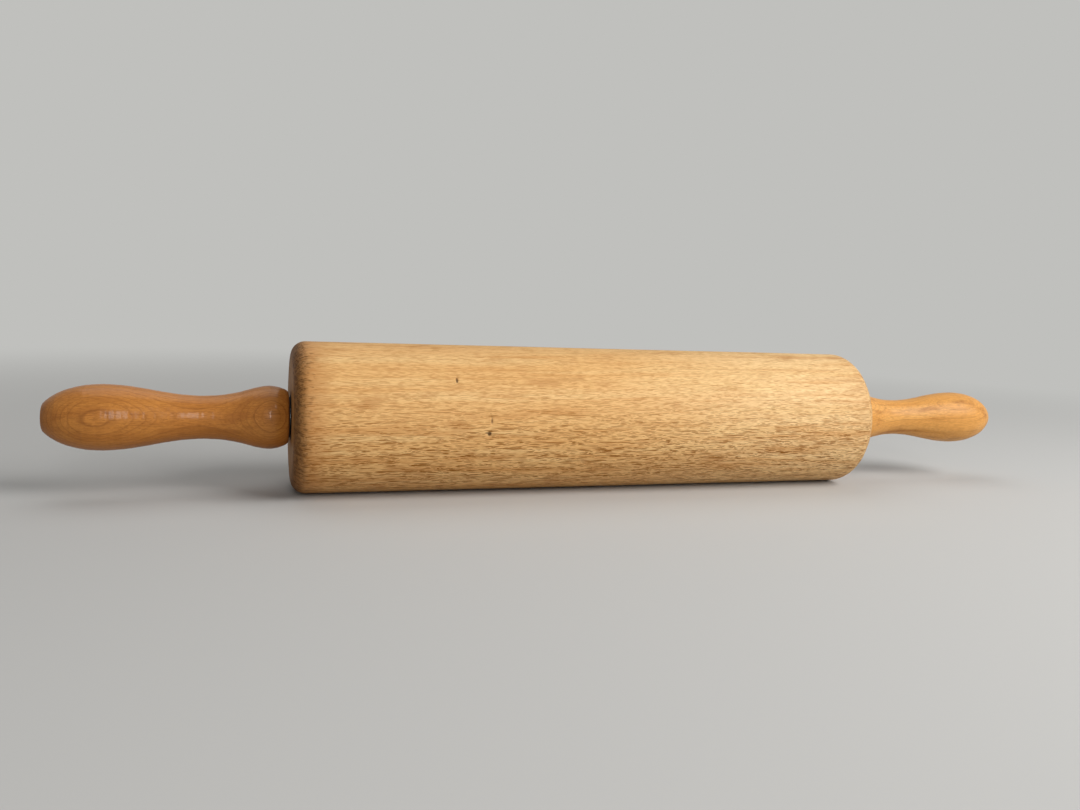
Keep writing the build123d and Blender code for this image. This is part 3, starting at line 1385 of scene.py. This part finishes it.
@dataclass(frozen=True)
class Studio:
    """The floor, the lamps and the camera. A length without a unit in its name is in metres."""

    floor_colour: str = "#BEBDBA"
    floor_roughness: float = 0.9
    backdrop_colour: str = "#C0C0BD"
    floor_side: float = 60.0
    fade: tuple[float, float] = (0.2, 0.9)
    soft_light: float = 0.15
    lamps: tuple[Lamp, ...] = (
        Lamp("key", (0.62, -0.62, 0.6), (0.7, 0.7), 11.6),
        Lamp("front", (-0.1, -1.2, 0.36), (0.25, 0.6), 3.4),
        Lamp("back", (-0.1, 0.45, 1.25), (1.1, 1.1), 4.5),
    )
    camera_place_mm: tuple[float, float, float] = (-144.2, -365.0, 51.3)
    camera_turn_deg: tuple[float, float, float] = (83.16, -2.47, -18.01)
    focal_px: float = 905.0
    photo_width_px: float = 1080.0
    film_mm: float = 36.0
    nearest_seen: float = 0.01

    def build(self, floor_height: float) -> None:
        """Sets everything up.

        Args:
            floor_height: height of the floor.
        """
        self._floor(floor_height)
        self._world()
        for lamp in self.lamps:
            lamp.hang()
        self._camera()

    def _floor(self, height: float) -> None:
        """Lays a plain pale floor that fades into the backdrop far from the object.

        Args:
            height: height of the floor.
        """
        half = self.floor_side / 2
        mesh = bpy.data.meshes.new("floor")
        corners = [(x * half, y * half, height) for x, y in ((-1, -1), (1, -1), (1, 1), (-1, 1))]
        mesh.from_pydata(corners, [], [(0, 1, 2, 3)])
        material = blank_material("floor_matt_paint")
        tree = material.node_tree
        matt = add_node(
            tree,
            "ShaderNodeBsdfPrincipled",
            {"Base Color": linear(self.floor_colour), "Roughness": self.floor_roughness},
        )
        backdrop = add_node(tree, "ShaderNodeEmission", {"Color": linear(self.backdrop_colour)})
        own = add_node(tree, "ShaderNodeTexCoord").outputs["Object"]
        away = add_node(tree, "ShaderNodeVectorMath", {0: own}, operation="LENGTH").outputs["Value"]
        far = add_node(
            tree,
            "ShaderNodeMapRange",
            {"Value": away, "From Min": self.fade[0], "From Max": self.fade[1]},
            interpolation_type="SMOOTHSTEP",
        ).outputs[0]
        seen = self._rays_that_see_backdrop(tree)
        share = add_node(tree, "ShaderNodeMath", {0: far, 1: seen}, operation="MULTIPLY").outputs[0]
        both = add_node(
            tree, "ShaderNodeMixShader", {0: share, 1: matt.outputs[0], 2: backdrop.outputs[0]}
        )
        add_node(tree, "ShaderNodeOutputMaterial", {"Surface": both.outputs[0]})
        mesh.materials.append(material)
        floor = bpy.data.objects.new("floor", mesh)
        bpy.context.scene.collection.objects.link(floor)
        floor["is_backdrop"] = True

    def _rays_that_see_backdrop(self, tree: bpy.types.NodeTree) -> bpy.types.NodeSocket:
        """Tells rays from the camera, or seen in gloss or through clear things, from the rest.

        Args:
            tree: the nodes to add to.

        Returns:
            A socket that is 1 for those rays, and 0 for the rays that only light the object.
        """
        seen = add_node(tree, "ShaderNodeLightPath").outputs
        found = seen["Is Camera Ray"]
        for other in ("Is Glossy Ray", "Is Transmission Ray"):
            either = add_node(tree, "ShaderNodeMath", {0: found, 1: seen[other]}, operation="MAXIMUM")
            found = either.outputs[0]
        return found

    def _world(self) -> None:
        """Fills the room with soft light, and shows a pale backdrop to the camera and in gloss."""
        world = bpy.data.worlds.new("studio")
        bpy.context.scene.world = world
        world.use_nodes = True
        tree = world.node_tree
        tree.nodes.clear()
        seen = self._rays_that_see_backdrop(tree)
        white = (1.0, 1.0, 1.0, 1.0)
        soft = add_node(tree, "ShaderNodeBackground", {"Color": white, "Strength": self.soft_light})
        pale = add_node(tree, "ShaderNodeBackground", {"Color": linear(self.backdrop_colour)})
        both = add_node(tree, "ShaderNodeMixShader", {0: seen, 1: soft.outputs[0], 2: pale.outputs[0]})
        add_node(tree, "ShaderNodeOutputWorld", {"Surface": both.outputs[0]})

    def _camera(self) -> None:
        """Sets the camera where the photograph was taken from."""
        data = bpy.data.cameras.new("camera")
        data.sensor_width = self.film_mm
        data.lens = self.focal_px / self.photo_width_px * self.film_mm
        data.clip_start = self.nearest_seen
        camera = bpy.data.objects.new("camera", data)
        camera.location = [c * MM for c in self.camera_place_mm]
        camera.rotation_euler = [math.radians(a) for a in self.camera_turn_deg]
        bpy.context.scene.collection.objects.link(camera)
        bpy.context.scene.camera = camera


def paint(piece: bpy.types.Object, material: bpy.types.Material) -> None:
    """Puts one material in every slot of a piece.

    Args:
        piece: the object to paint.
        material: its new material.
    """
    slots = piece.data.materials
    for index in range(len(slots)):
        slots[index] = material
    if not slots:
        slots.append(material)


def main() -> None:
    """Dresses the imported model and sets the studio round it."""
    logging.basicConfig(level=logging.INFO, format="%(name)s: %(message)s")
    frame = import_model()
    cad_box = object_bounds()
    nodes = frame["nodes"]
    plated = PLATED_STEEL.build()

    roller = Roller()
    roller.dress(roller.build(), nodes)
    log.info("roller turned")
    paint(nodes["axle"], DRAWN_STEEL.build())
    for side in Side:
        handle = Handle(side)
        handle.dress(handle.build(), nodes, plated)
        EndPlug(side).dress(nodes)
        log.info("%s handle turned", side.word)

    bpy.context.scene.view_settings.view_transform = "Standard"
    Studio().build(cad_box[0].z)
    log.info("studio set")


if __name__ == "__main__":
    main()
